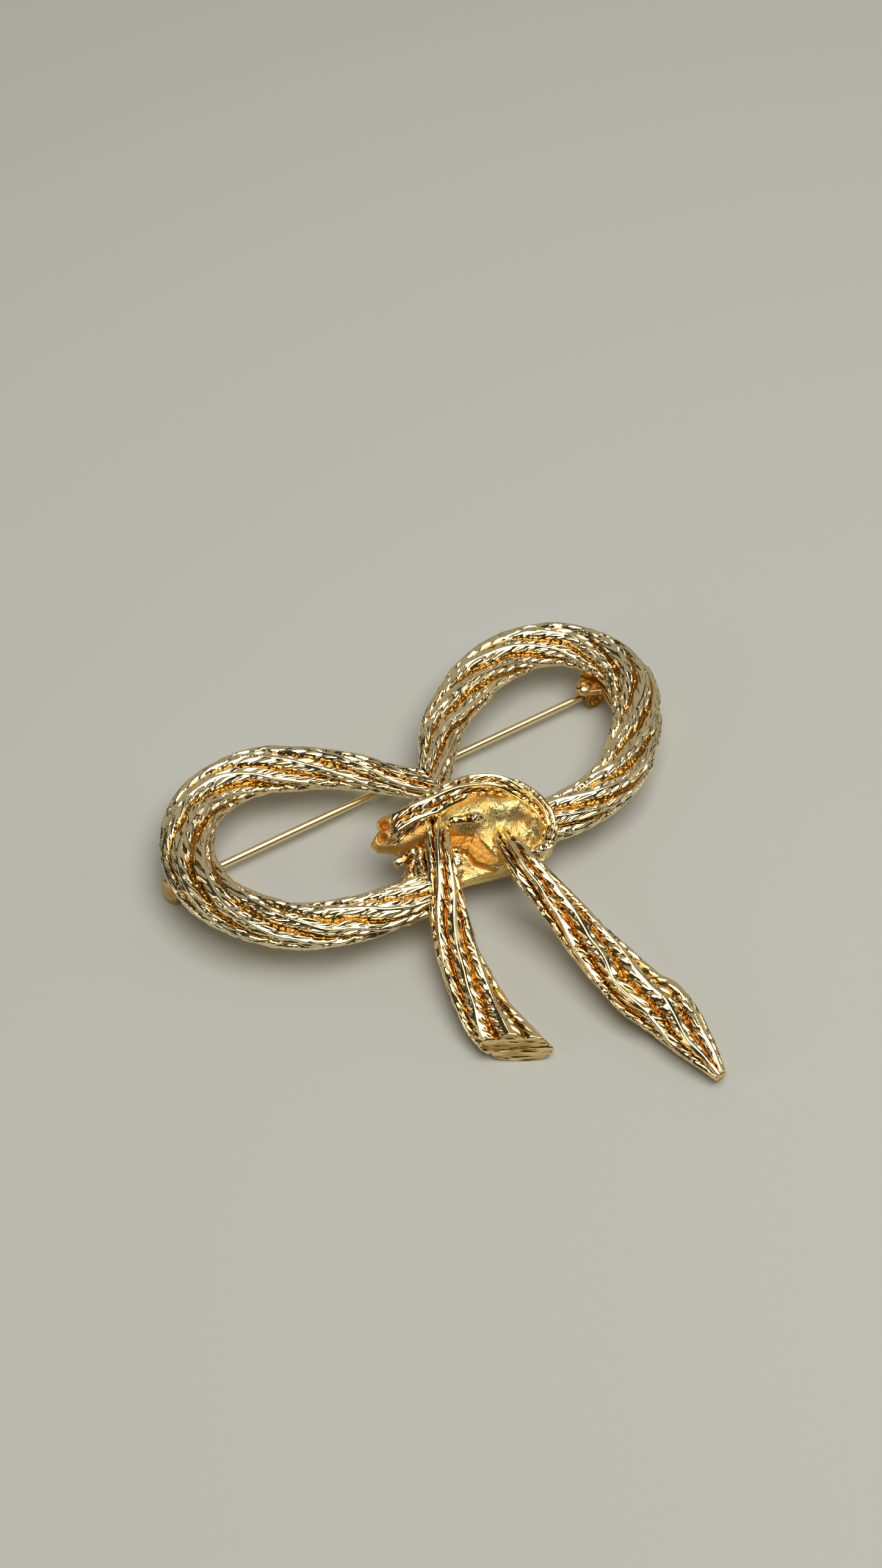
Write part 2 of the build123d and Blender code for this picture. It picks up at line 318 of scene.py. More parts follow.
# across (of half CORE_WIDTH), up (of half CORE_LENGTH) and rise (of CORE_RISE) of places
# on the knot's middle, from the core's own middle
UNDER_BAND = [(-0.35, 0.40, 0.92), (0.10, 0.45, 0.96), (0.50, 0.25, 0.94), (0.85, -0.15, 0.82)]
SIDES = [
    (-0.65, 0.20, 0.72), (-0.60, -0.35, 0.75), (-0.55, -0.80, 0.60), (1.00, -0.65, 0.66),
    (0.95, -1.00, 0.58),
]
LEDGE = [
    (-0.15, 0.00, 1.07), (0.15, -0.05, 1.11), (0.40, -0.10, 1.13), (-0.20, -0.20, 1.00),
    (0.10, -0.35, 1.06),
]
BELOW_LEDGE = [
    (-0.20, -0.28, 0.87), (0.00, -0.48, 0.89), (-0.35, -0.45, 0.77), (-0.40, -0.70, 0.66),
    (-0.20, -0.65, 0.77), (0.00, -0.75, 0.83), (-0.15, -0.95, 0.67), (0.10, -0.95, 0.78),
    (0.10, -1.20, 0.64), (0.35, -1.10, 0.74),
]
BOWL = [
    (0.55, -0.20, 1.06), (0.45, -0.40, 1.04), (0.60, -0.40, 1.04), (0.35, -0.50, 0.94),
    (0.65, -0.65, 0.87), (0.55, -0.85, 0.80), (0.70, -0.85, 0.82), (0.75, -0.40, 1.06),
    (0.90, -0.75, 0.92), (0.90, -0.95, 0.79), (0.80, -1.10, 0.69), (0.60, -1.20, 0.63),
    (0.80, -1.30, 0.55),
]
CORE_OUTLINE = [
    (-0.65, 0.10), (-0.60, -0.40), (-0.50, -0.95), (-0.25, -1.10), (0.15, -1.25), (0.60, -1.40),
    (0.90, -1.28), (1.05, -0.70), (0.70, 0.30), (0.35, 0.60), (-0.15, 0.70), (-0.50, 0.55),
]
RIM_START = (0.62, -0.62)
FOOT_LIFT_START = (0.60, -0.90)

# Broken flat faces below the ledge: a place on each, its slopes, how orange it is, and its
# corners across and up, turning left
Face = collections.namedtuple("Face", "across up rise slope_x slope_y orange corners")
# The grey face's high orange share is painted shade on it
GREY_FACE = Face(-0.17, -0.45, 0.83, 0.05, -0.05, 0.75,
                 [(-0.35, -0.45), (-0.20, -0.70), (0.00, -0.50), (-0.25, -0.20)])
WHITE_FACE = Face(-0.30, -0.65, 0.72, 0.14, 0.43, 0.00,
                  [(-0.45, -0.75), (-0.30, -0.80), (-0.25, -0.55), (-0.35, -0.45)])
ORANGE_FACE = Face(-0.02, -0.86, 0.76, 0.32, 0.60, 1.00,
                   [(-0.20, -0.70), (-0.15, -0.92), (0.10, -1.20), (0.10, -1.00), (0.00, -0.50)])
CORE_CRACK = [(-0.20, -0.70), (-0.17, -0.92), (-0.07, -1.08), (0.05, -1.25)]

# Round-ended bars at the band's left end, in millimetres from the bow's own middle:
# across, up, rise and radius
HOLLOW_ENDS = [
    [(-10.3, -4.9, 5.9, 0.50), (-9.2, -5.2, 6.5, 1.05), (-7.6, -5.6, 7.0, 1.30)],
    [(-8.4, -4.0, 7.2, 0.95), (-7.2, -4.4, 7.6, 1.00)],
]
UNDERSIDE = [
    [(-9.7, -5.3, 5.9, 0.91), (-8.1, -6.2, 6.1, 1.30), (-6.4, -6.6, 6.6, 1.30),
     (-4.9, -6.8, 7.1, 1.30)],
]

# The hollows in the two ends: place and facing direction, radius and depth in millimetres
HOLLOWS = [
    ((-8.75, -4.35, 7.75), (-0.6, -0.3, 0.80), 0.62, 0.6),
    ((-9.65, -5.45, 7.10), (-0.6, -0.2, 0.85), 0.72, 0.6),
]

# Lumps and webs around the knot, in millimetres as HOLLOW_ENDS
WEBS = [
    # left of the left tail's start
    [(-9.0, -7.7, 4.9, 0.55), (-8.0, -7.8, 5.3, 0.45), (-6.7, -7.9, 5.7, 0.60)],
    [(-7.3, -7.8, 5.0, 0.75), (-7.7, -8.8, 4.6, 0.70), (-8.6, -9.8, 4.4, 0.85),
     (-9.8, -10.4, 4.4, 0.90), (-11.4, -10.9, 4.5, 0.70)],
    [(-6.3, -8.0, 5.2, 1.10), (-6.4, -9.6, 4.8, 1.20), (-7.0, -11.2, 4.8, 1.30),
     (-5.6, -11.6, 5.2, 1.20)],
    [(-6.5, -8.5, 6.2, 0.50), (-7.5, -9.8, 6.0, 0.60), (-8.2, -11.5, 5.9, 0.70),
     (-9.2, -13.0, 5.8, 0.50)],
    # in the notch between the two upper arms
    [(-1.4, 2.9, 4.6, 0.80), (-0.4, 2.3, 4.6, 1.00), (0.8, 1.8, 4.6, 1.00), (1.6, 2.2, 4.1, 0.70)],
    [(-1.5, 3.0, 4.8, 0.35), (-0.8, 2.6, 4.9, 0.55), (0.0, 2.3, 4.8, 0.60)],
    # on the ledge
    [(-2.4, -8.2, 8.5, 0.45), (-1.2, -8.7, 8.6, 0.55), (-0.2, -9.2, 8.6, 0.70),
     (0.7, -9.3, 8.4, 0.45)],
    # along the bowl's front rim
    [(6.6, -13.6, 5.0, 0.55), (5.6, -14.3, 4.9, 0.75), (4.5, -14.5, 5.0, 0.70),
     (3.4, -14.2, 5.4, 0.50)],
    [(8.5, -12.5, 3.5, 0.45), (6.5, -14.5, 5.2, 0.50), (5.6, -14.6, 4.5, 0.50),
     (4.8, -14.6, 4.8, 0.45), (4.0, -14.0, 5.6, 0.40)],
]


def noise(points, cell, seed):
    """Smooth random values from -1 to 1 at points, with grains about cell wide."""
    table = np.random.default_rng(seed).uniform(-1, 1, (LATTICE,) * 3)
    low = np.floor(points / cell).astype(int)
    part = points / cell - low
    part = part * part * (3 - 2 * part)
    total = np.zeros(points.shape[:-1])
    for corner in itertools.product((0, 1), repeat=3):
        weight = np.prod(np.where(corner, part, 1 - part), axis=-1)
        place = (low + corner) % LATTICE
        total += weight * table[place[..., 0], place[..., 1], place[..., 2]]
    return total


def grains(points, size, seed, finer_seed):
    """Noise with finer noise on it."""
    return noise(points, size, seed) + FINER_SHARE * noise(points, size / 2, finer_seed)


def smoothstep(low, high, value):
    """A smooth step of value from 0 at low to 1 at high."""
    share = np.clip((value - low) / (high - low), 0, 1)
    return share * share * (3 - 2 * share)


def unit(vectors):
    """Vectors of the same directions and length 1."""
    return vectors / np.linalg.norm(vectors, axis=-1, keepdims=True)


def smooth_rows(rows, step):
    """Rows along a smooth curve through the given ones, step apart, and its length."""
    rows = np.array(rows, float)
    knots = np.vstack([2 * rows[0] - rows[1], rows, 2 * rows[-1] - rows[-2]])
    t = np.linspace(0, 1, CURVE_PARTS, endpoint=False)[:, None]
    spans = []
    for a, b, c, d in zip(knots, knots[1:], knots[2:], knots[3:]):
        bend = 2 * a - 5 * b + 4 * c - d + t * (3 * (b - c) + d - a)
        spans.append(b + 0.5 * t * (c - a + t * bend))
    fine = np.vstack(spans + [rows[-1:]])
    reach = np.concatenate([[0], np.cumsum(np.linalg.norm(np.diff(fine[:, :3], axis=0), axis=1))])
    even = np.linspace(0, reach[-1], round(reach[-1] / step) + 1)
    return np.stack([np.interp(even, reach, column) for column in fine.T], axis=1), reach[-1]


def build_mesh(name, points, faces, depth, material, body, nodes):
    """A smooth mesh object from points in millimetres, riding on its body."""
    mesh = bpy.data.meshes.new(name)
    mesh.from_pydata((points * MM).tolist(), [], faces)
    mesh.attributes.new("depth", "FLOAT", "POINT").data.foreach_set("value", depth.astype(np.float32))
    mesh.shade_smooth()
    mesh.materials.append(material)
    piece = bpy.data.objects.new(name, mesh)
    bpy.context.scene.collection.objects.link(piece)
    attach(piece, body)
    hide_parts(*nodes)
    return piece


def grid_faces(rows, columns):
    """Quads of a tube of rings, each ring closed on itself."""
    first = np.arange(rows - 1)[:, None] * columns
    here = np.arange(columns)[None, :]
    beside = (here + 1) % columns
    corners = [first + here, first + beside, first + columns + beside, first + columns + here]
    quads = np.stack(corners, -1)
    return quads.reshape(-1, 4).tolist()


class Relief:
    """Relief of the loops' rope. Lengths are in millimetres, and a share runs from 0 at
    a strand's crest to 1 in the groove beside it."""
    # strands
    groove = 0.66
    crest_half = 0.20
    crest_height = 0.14
    flank_fall = 0.10
    # slanted bars on both flanks of a strand, the slant in degrees
    bar_height = 0.34
    bar_growth = 0.12
    bar_mean = 0.55
    bar_pitch = 1.8
    bar_slant = 23.0
    bar_sharpness = 0.8
    weakest_bar = 0.55
    # the shares at which a bar has risen, reaches its end and falls into the groove
    bar_risen = 0.15
    bar_reach = 0.44
    bar_reach_spread = 0.40
    fall_before = 0.12
    fall_after = 0.24
    # unevenness of the strands' lines, the bars, the crests and the whole
    sway = 0.30
    sway_size = 3.0
    jitter = 0.7
    jitter_size = 2.1
    crest_change = 0.25
    crest_change_size = 2.4
    wave = 0.07
    wave_size = 1.5
    # crumbs in the grooves, between two shares, and low on the rope's sides
    crumb = 0.10
    crumb_size = 0.26
    crumb_start = 0.30
    crumb_full = 0.75
    crumb_least = 0.25
    side_crumb = 0.060
    side_crumb_size = 0.22
    # heights around the rope, from -1 to 1, at which relief and side crumbs start
    relief_low = -0.76
    relief_full = -0.58
    side_high = 0.55
    side_low = -0.10
    # how deep, of the groove, the painted amber shade starts and is full
    painted_shade_low = 0.45
    painted_shade_full = 0.95


def dice(seed, *places):
    """The same random value from 0 to 1 for everything at one whole-numbered place."""
    table = np.random.default_rng(seed).uniform(0, 1, (LATTICE,) * len(places))
    return table[tuple(place.astype(int) % LATTICE for place in places)]


def strand_relief(look, phase, along, strand_width, points, seed):
    """How far the surface lies under the crests, and how deep that is from 0 to 1, as a share of
    painted shade.
    """
    phase = phase + look.sway / strand_width * noise(points, look.sway_size, seed)
    strand = np.round(phase)
    left = (phase - strand) * strand_width
    edge = np.abs(left)
    half = strand_width / 2
    change = look.crest_change * noise(points, look.crest_change_size, seed + 5)
    crest = look.crest_half * (1 + change)
    below = np.clip((edge - crest) / (half - crest), 0, 1)
    drop = look.crest_height * smoothstep(0, 1, edge / crest) + look.flank_fall * below

    bars = (along - left / math.tan(math.radians(look.bar_slant))) / look.bar_pitch
    bars = bars + look.jitter / look.bar_pitch * noise(points, look.jitter_size, seed + 1)
    number = np.round(bars)
    side = (left > 0) + 2 * strand
    strength = look.weakest_bar + (1 - look.weakest_bar) * dice(seed + 2, side, number)
    reach = look.bar_reach + look.bar_reach_spread * dice(seed + 3, side, number)
    bar = np.clip(np.cos(math.pi * (bars - number)), 0, 1) ** look.bar_sharpness
    swell = (look.bar_height + look.bar_growth * below) * smoothstep(0, look.bar_risen, below)
    drop = drop - swell * (strength * bar - look.bar_mean)
    fallen = smoothstep(reach - look.fall_before, reach + look.fall_after, below)
    drop = drop + (look.groove - drop) * fallen

    rough = smoothstep(look.crumb_start, look.crumb_full, below)
    rough = rough * (look.crumb_least + (1 - look.crumb_least) * fallen)
    drop = drop - look.crumb * rough * grains(points, look.crumb_size, seed + 3, seed + 8)
    drop = drop - look.wave * noise(points, look.wave_size, seed + 4)
    return drop, smoothstep(look.painted_shade_low, look.painted_shade_full, drop / look.groove)


def rope(rows, strands, turn_length, back, look, seed, whole_strands=False, lean=None, calm=None,
         tilt=None):
    """Rings of points over a twisted rope with a flat back, their depths as shares of painted shade,
    and length.
    """
    stations, length = smooth_rows(rows, ROPE_STEP)
    turns = length / turn_length
    if whole_strands:
        turns = round(turns * strands) / strands
    centre = stations[:, :3]
    along = unit(np.gradient(centre, axis=0))
    side = unit(np.cross(along, (0, 0, 1)))
    up = np.cross(side, along)
    share = np.linspace(0, 1, len(stations))
    if lean is not None:
        side = side + along * lean(share, length)[:, None]
    if tilt is not None:
        up = up + along * tilt(share, length)[:, None]
    half_width = stations[:, 3:4] / 2
    half_height = stations[:, 4:5] / 2
    corner = math.asin(min(1, back / (stations[:, 4].max() / 2)))
    front = np.linspace(-corner, math.pi + corner, FRONT_COLUMNS, endpoint=False)
    behind = np.linspace(math.pi + corner, 2 * math.pi - corner, BACK_COLUMNS, endpoint=False)
    angle = np.concatenate([front, behind])[None, :]
    across = half_width * np.cos(angle)
    rise = half_height * np.sin(angle)
    rise = BACK_SOFTNESS * np.logaddexp(rise / BACK_SOFTNESS, -back / BACK_SOFTNESS)
    normal = unit(np.stack([half_height * np.cos(angle), half_width * np.sin(angle)], -1))
    base = centre[:, None] + side[:, None] * across[..., None] + up[:, None] * rise[..., None]
    phase = strands * (angle / (2 * math.pi) + turns * share[:, None])
    strand_width = math.pi * (half_width + half_height) / strands
    drop, depth = strand_relief(look, phase, share[:, None] * length, strand_width, base, seed)
    front_share = smoothstep(look.relief_low, look.relief_full, np.sin(angle))
    drop = drop * (BACK_RELIEF + (1 - BACK_RELIEF) * front_share)
    low = smoothstep(look.side_high, look.side_low, np.sin(angle))
    crumbs = noise(base, look.side_crumb_size, seed + 6)
    drop = drop + look.side_crumb * low * front_share * crumbs
    if calm is not None:
        drop = drop * calm(base)
    across = across - drop * normal[..., 0]
    rise = rise - drop * normal[..., 1] * front_share
    points = centre[:, None] + side[:, None] * across[..., None] + up[:, None] * rise[..., None]
    return points + BOW_ORIGIN, depth, length


def cap_rings(points, depth):
    """The rings, and more that close the last one, with fine level lines and painted shade between
    them.
    """
    middle = points[-1].mean(0)
    share = 1 - np.arange(1, CAP_RINGS + 1)[:, None, None] / (CAP_RINGS + CAP_PINHOLE)
    flat = middle + (points[-1] - middle) * share
    outward = unit(middle - points[-2].mean(0))
    coarse = noise(flat * CAP_LINE_STRETCH, cell=0.22, seed=71)
    fine = noise(flat * CAP_FINE_STRETCH, cell=0.11, seed=72)
    lines = coarse + FINER_SHARE * fine
    flat = flat + CAP_LINE_HEIGHT * lines[..., None] * outward
    # the cap's colour: painted shade between the raised lines, paler on them
    return np.vstack([points, flat]), np.vstack([depth, np.clip(CAP_ORANGE - 0.5 * lines, 0, 1)])


def rope_piece(name, points, depth, material):
    rows, columns = depth.shape
    return build_mesh(name, points.reshape(-1, 3), grid_faces(rows, columns), depth.ravel(),
                      material, "brooch", ["bow"])


STAINS_PER_METRE = 260
STAIN_DETAIL = 4
STAIN_SHARE = 0.5
HOLLOW_START = 0.40
GRAIN_DETAIL = 3
GRAIN_HEIGHT = 0.05


def noise_node(material, scale, detail):
    """A noise texture that is fixed to the object."""
    nodes = material.node_tree.nodes
    place = nodes.new("ShaderNodeTexCoord")
    node = nodes.new("ShaderNodeTexNoise")
    node.inputs["Scale"].default_value = scale
    node.inputs["Detail"].default_value = detail
    material.node_tree.links.new(place.outputs["Object"], node.inputs["Vector"])
    return node


def gold(name, crest, hollow, roughness, hollow_roughness, grain, grain_size):
    """Plated gold: paler on the crests, with painted shade in deep orange in the hollows, and a cast
    grain.
    """
    material = bpy.data.materials.new(name)
    material.use_nodes = True
    nodes = material.node_tree.nodes
    links = material.node_tree.links
    shader = nodes["Principled BSDF"]
    shader.inputs["Metallic"].default_value = 1.0

    # how much painted hollow shade each place takes: the mesh's depth and some stains
    depth = nodes.new("ShaderNodeAttribute")
    depth.attribute_name = "depth"
    stain = noise_node(material, STAINS_PER_METRE, STAIN_DETAIL)
    uneven = nodes.new("ShaderNodeMath")
    uneven.operation = "MULTIPLY_ADD"
    uneven.inputs[1].default_value = STAIN_SHARE
    links.new(stain.outputs["Fac"], uneven.inputs[0])
    links.new(depth.outputs["Fac"], uneven.inputs[2])
    share = nodes.new("ShaderNodeMapRange")
    share.inputs["From Min"].default_value = HOLLOW_START
    links.new(uneven.outputs[0], share.inputs["Value"])

    # the crest colour, turned towards the hollow colour as painted shade
    colour = nodes.new("ShaderNodeMix")
    colour.data_type = "RGBA"
    colour.inputs["A"].default_value = (*crest, 1)
    colour.inputs["B"].default_value = (*hollow, 1)
    links.new(share.outputs["Result"], colour.inputs["Factor"])
    links.new(colour.outputs["Result"], shader.inputs["Base Color"])

    polish = nodes.new("ShaderNodeMapRange")
    polish.inputs["To Min"].default_value = roughness
    polish.inputs["To Max"].default_value = hollow_roughness
    links.new(share.outputs["Result"], polish.inputs["Value"])
    links.new(polish.outputs["Result"], shader.inputs["Roughness"])

    fine = noise_node(material, 1 / (grain_size * MM), GRAIN_DETAIL)
    bump = nodes.new("ShaderNodeBump")
    bump.inputs["Distance"].default_value = GRAIN_HEIGHT * MM
    bump.inputs["Strength"].default_value = grain
    links.new(fine.outputs["Fac"], bump.inputs["Height"])
    links.new(bump.outputs["Normal"], shader.inputs["Normal"])
    return material


# Crest colours, hollow colours that paint shade into hollows, the roughness of each, strength and
# size of the grain
PAINTED_HOLLOW_SHADE = (0.50, 0.24, 0.035)
cast_gold = gold("cast_gold", (0.94, 0.78, 0.45), PAINTED_HOLLOW_SHADE, 0.10, 0.17, 0.25, 0.20)
tail_gold = gold("tail_gold", (0.94, 0.74, 0.38), PAINTED_HOLLOW_SHADE, 0.10, 0.17, 0.25, 0.20)
satin_gold = gold("satin_gold", (1.00, 0.77, 0.30), (0.78, 0.38, 0.07), 0.24, 0.46, 1.2, 0.14)
findings_gold = gold("findings_gold", (0.95, 0.70, 0.33), PAINTED_HOLLOW_SHADE, 0.16, 0.30, 0.2, 0.3)
pin_gold = gold("pin_gold", (0.98, 0.80, 0.42), PAINTED_HOLLOW_SHADE, 0.20, 0.26, 0.02, 1.5)


def mitre(share, length):
    """How the rings lean where the two upper arms meet."""
    fade = MITRE_LENGTH / length
    slant = math.tan(math.radians(ARM_MEETING_ANGLE))
    return slant * (np.clip(1 - share / fade, 0, 1) - np.clip(1 - (1 - share) / fade, 0, 1))


def calm_under_knot(points):
    """How much of the relief is left where the lower arms pass below the knot."""
    least = 0.25
    above_weight = 2.5
    above = np.clip(points[..., 1] + CORE_DOWN, 0, None)
    away = np.abs(points[..., 0] + CORE_LEFT) + above_weight * above
    return least + (1 - least) * smoothstep(3.0, 6.5, away)


def make_loops():
    """Both loops: one closed rope that starts where the upper arms meet, cut in two halves."""
    rows = [(x * LOOP_REACH, y * LOOP_HALF, ROPE_AXIS, w * ROPE_WIDTH, h * ROPE_HEIGHT)
            for x, y, w, h in LOOP_ROWS]
    points, depth, _ = rope(rows + rows[:1], ROPE_STRANDS, STRAND_TURN_LENGTH, ROPE_BACK, Relief,
                            seed=11, whole_strands=True, lean=mitre, calm=calm_under_knot)
    half = len(points) // 2
    rope_piece("loop_left", points[:half + 1], depth[:half + 1], cast_gold)
    rope_piece("loop_right", points[half:], depth[half:], cast_gold)


class BandRelief(Relief):
    """Relief of the knot's band: wide round strands with short bars."""
    groove = 0.62
    crest_half = 0.34
    bar_height = 0.34
    bar_growth = 0.20
    bar_pitch = 1.35
    bar_slant = 48.0
    bar_reach = 0.62
    relief_low = -0.35
    relief_full = 0.15
    # where the painted amber shade starts and is full
    painted_shade_low = 0.26
    painted_shade_full = 0.66


class TailRelief(Relief):
    """Relief of the tails: sharp strands with deep grooves, painted amber as shade."""
    groove = 0.80
    crest_half = 0.30
    flank_fall = 0.34
    bar_height = 0.34
    bar_pitch = 1.6
    bar_slant = 30.0
    bar_reach = 0.55
    # where the painted amber shade starts and is full
    painted_shade_low = 0.28
    painted_shade_full = 0.62


def make_band():
    """The rope over the knot's middle, closed at its left end."""
    rows = [(x * BAND_REACH, y * BAND_DEPTH, z * BAND_RISE, w * BAND_WIDTH, h * BAND_HEIGHT)
            for x, y, z, w, h in BAND_ROWS]

    def start_slant(share, length):
        return BAND_END_SLANT * np.clip(1 - share * length / BAND_SLANT_LENGTH, 0, 1)

    points, depth, _ = rope(rows, BAND_STRANDS, STRAND_TURN_LENGTH, BAND_BACK, BandRelief,
                            seed=31, lean=start_slant)
    points, depth = cap_rings(points[::-1], depth[::-1])
    rope_piece("knot_band", points, depth, tail_gold)


def make_tail(name, rows, end, cut, end_tilt, seed):
    """A tail whose last ring leans by cut and tilts by end_tilt."""
    rows = [(x * TAIL_SPREAD, y * end, z * TAIL_RISE, w * TAIL_WIDTH, h * TAIL_HEIGHT)
            for x, y, z, w, h in rows]

    def lean(share, length):
        return cut * np.clip(1 - (1 - share) * length / TAIL_WIDTH, 0, 1)

    def tilt(share, length):
        return end_tilt * np.clip(1 - (1 - share) * length / TAIL_HEIGHT, 0, 1)

    def calm_at_end(points):
        near = 1 - smoothstep(0, TAIL_CALM_LENGTH, points[..., 1] + end)
        low = 1 - smoothstep(TAIL_BACK + TAIL_LOW_FULL, TAIL_BACK + TAIL_LOW_START, points[..., 2])
        return 1 - near * (TAIL_CALM + TAIL_CALM_LOW * low)

    points, depth, _ = rope(rows, ROPE_STRANDS, TAIL_TURN_LENGTH, TAIL_BACK, TailRelief, seed,
                            lean=lean, tilt=tilt, calm=calm_at_end)
    points, depth = cap_rings(points, depth)
    rope_piece(name, points, depth, tail_gold)


def thin_plate(points, x, y):
    """Heights at x and y of the smoothest surface through points."""
    points = np.array(points, float)
    count = len(points)

    def bend(far):
        return far ** 2 * np.log(far + 1e-9)

    flat = np.column_stack([np.ones(count), points[:, :2]])
    gaps = np.hypot(points[:, None, 0] - points[None, :, 0], points[:, None, 1] - points[None, :, 1])
    system = np.block([[bend(gaps), flat], [flat.T, np.zeros((3, 3))]])
    weights = np.linalg.solve(system, np.concatenate([points[:, 2], np.zeros(3)]))
    total = weights[count] + weights[count + 1] * x + weights[count + 2] * y
    for (place_x, place_y, _), weight in zip(points, weights):
        total = total + weight * bend(np.hypot(x - place_x, y - place_y))
    return total


def path_distance(x, y, path):
    """How far each x and y lies from a line of straight parts."""
    nearest = np.full(x.shape, np.inf)
    for (x1, y1), (x2, y2) in zip(path, path[1:]):
        run_x, run_y = x2 - x1, y2 - y1
        share = ((x - x1) * run_x + (y - y1) * run_y) / (run_x ** 2 + run_y ** 2)
        share = np.clip(share, 0, 1)
        nearest = np.minimum(nearest, np.hypot(x - x1 - share * run_x, y - y1 - share * run_y))
    return nearest


def corner_depth(x, y, corners):
    """How far each x and y lies inside straight-sided corners that turn left."""
    inside = np.full(x.shape, np.inf)
    for (x1, y1), (x2, y2) in zip(corners, corners[1:] + corners[:1]):
        turn = (x2 - x1) * (y - y1) - (y2 - y1) * (x - x1)
        inside = np.minimum(inside, turn / math.hypot(x2 - x1, y2 - y1))
    return inside


def core_place(across, up, *rise):
    """A place on the core in millimetres, from shares of its sizes."""
    place = (across * CORE_WIDTH / 2 - CORE_LEFT, up * CORE_LENGTH / 2 - CORE_DOWN)
    return place + tuple(share * CORE_RISE for share in rise)


def face_height(face, x, y):
    """Height of a flat face's plane at x and y."""
    face_x, face_y, face_z = core_place(face.across, face.up, face.rise)
    return face_z + face.slope_x * (x - face_x) + face.slope_y * (y - face_y)


def core_top(x, y):
    """Height of the knot's middle and how orange it is, from 0 to 1: stains, and painted shade and
    light on faces, crack and rim.
    """
    places = UNDER_BAND + SIDES + LEDGE + BELOW_LEDGE + BOWL
    z = thin_plate([core_place(*row) for row in places], x, y)
    flat = np.stack([x, y, np.zeros_like(x)], -1)
    orange = CORE_ORANGE * (1 + noise(flat, CORE_STAIN_SIZE, seed=53))
    # each face sets its own height and tone; the grey face's tone is painted shade
    for face in (GREY_FACE, WHITE_FACE, ORANGE_FACE):
        corners = [core_place(*row) for row in face.corners]
        inside = smoothstep(-FACE_EDGE, FACE_EDGE, corner_depth(x, y, corners))
        z = z + inside * (face_height(face, x, y) - z)
        orange = orange + inside * (face.orange - orange)
    # the crack: cut in, and painted darker orange as painted shade
    away = path_distance(x, y, [core_place(*row) for row in CORE_CRACK])
    crack = np.exp(-(away / CRACK_WIDTH) ** 2)
    # the rim: coarser grain, painted paler on its tops and more orange in its dips, as painted light
    # and shade
    right_x, front_y = core_place(*RIM_START)
    rim = smoothstep(0, RIM_LENGTH, RIM_SLOPE * (x - right_x) + front_y - y)
    grain = grains(flat, CORE_GRAIN_SIZE, seed=51, finer_seed=52)
    z = z - CRACK_DEPTH * crack + (CORE_GRAIN + RIM_GRAIN * rim) * grain
    orange = orange + crack - RIM_PAINTED_LIGHT * rim * np.clip(grain, -1, 1)
    return z, np.clip(orange, 0, 1)


def make_core():
    """The knot's middle: its relief in front, and the folded wall around it."""
    outline = [core_place(*row) + (0,) for row in CORE_OUTLINE + CORE_OUTLINE[:1]]
    edge = smooth_rows(outline, CORE_STEP)[0][:-1, :2]
    middle = edge.mean(0)
    share = np.linspace(1, CORE_PINHOLE, CORE_RINGS)[:, None, None]
    ground = middle + share * (edge - middle)
    z, orange = core_top(ground[..., 0], ground[..., 1])
    front = np.concatenate([ground, z[..., None]], -1)

    down = np.linspace(1, 0, WALL_RINGS, endpoint=False)[:, None]
    right_x = core_place(*FOOT_LIFT_START)[0]
    foot = CORE_BOTTOM + FOOT_LIFT * smoothstep(0, FOOT_LIFT_LENGTH, edge[:, 0] - right_x)
    bulge = 1 + WALL_BULGE * np.sin(math.pi * down) - WALL_TAPER * down ** 2
    wall = middle + bulge[..., None] * (edge - middle)
    wall = np.concatenate([wall, (z[0] + down * (foot - z[0]))[..., None]], -1)
    fold = noise(wall * WALL_STRETCH, cell=0.42, seed=55)
    fold = fold + FINER_SHARE * noise(wall, cell=0.34, seed=56)
    below_edge = np.minimum(1, FOLD_GROWTH * (1 - down))[..., None]
    wall[..., :2] += WALL_FOLD * below_edge * fold[..., None] * unit(edge - middle)

    points = np.vstack([wall, front])
    # the wall's folds: painted shade in their dips
    orange = np.vstack([np.clip(WALL_ORANGE * (1 - fold), 0, 1), orange])
    build_mesh("knot_core", (points + BOW_ORIGIN).reshape(-1, 3), grid_faces(len(points), len(edge)),
               orange.ravel(), satin_gold, "brooch", ["bow"])


def lathe(name, start, axis, steps, material, body, nodes, sides=32, depth=0.0):
    """A turned piece: at each step a ring, that far along the axis and of that radius."""
    axis = np.array(axis, float)
    first = unit(np.cross(axis, (0.3, 0.5, 0.8)))
    second = np.cross(axis, first)
    angle = np.linspace(0, 2 * math.pi, sides, endpoint=False)[None, :, None]
    reach, radii = np.array(steps, float).T[..., None, None]
    points = np.array(start) + reach * axis + radii * (first * np.cos(angle) + second * np.sin(angle))
    return build_mesh(name, (points + BOW_ORIGIN).reshape(-1, 3), grid_faces(len(steps), sides),
                      np.full(len(steps) * sides, depth), material, body, nodes)


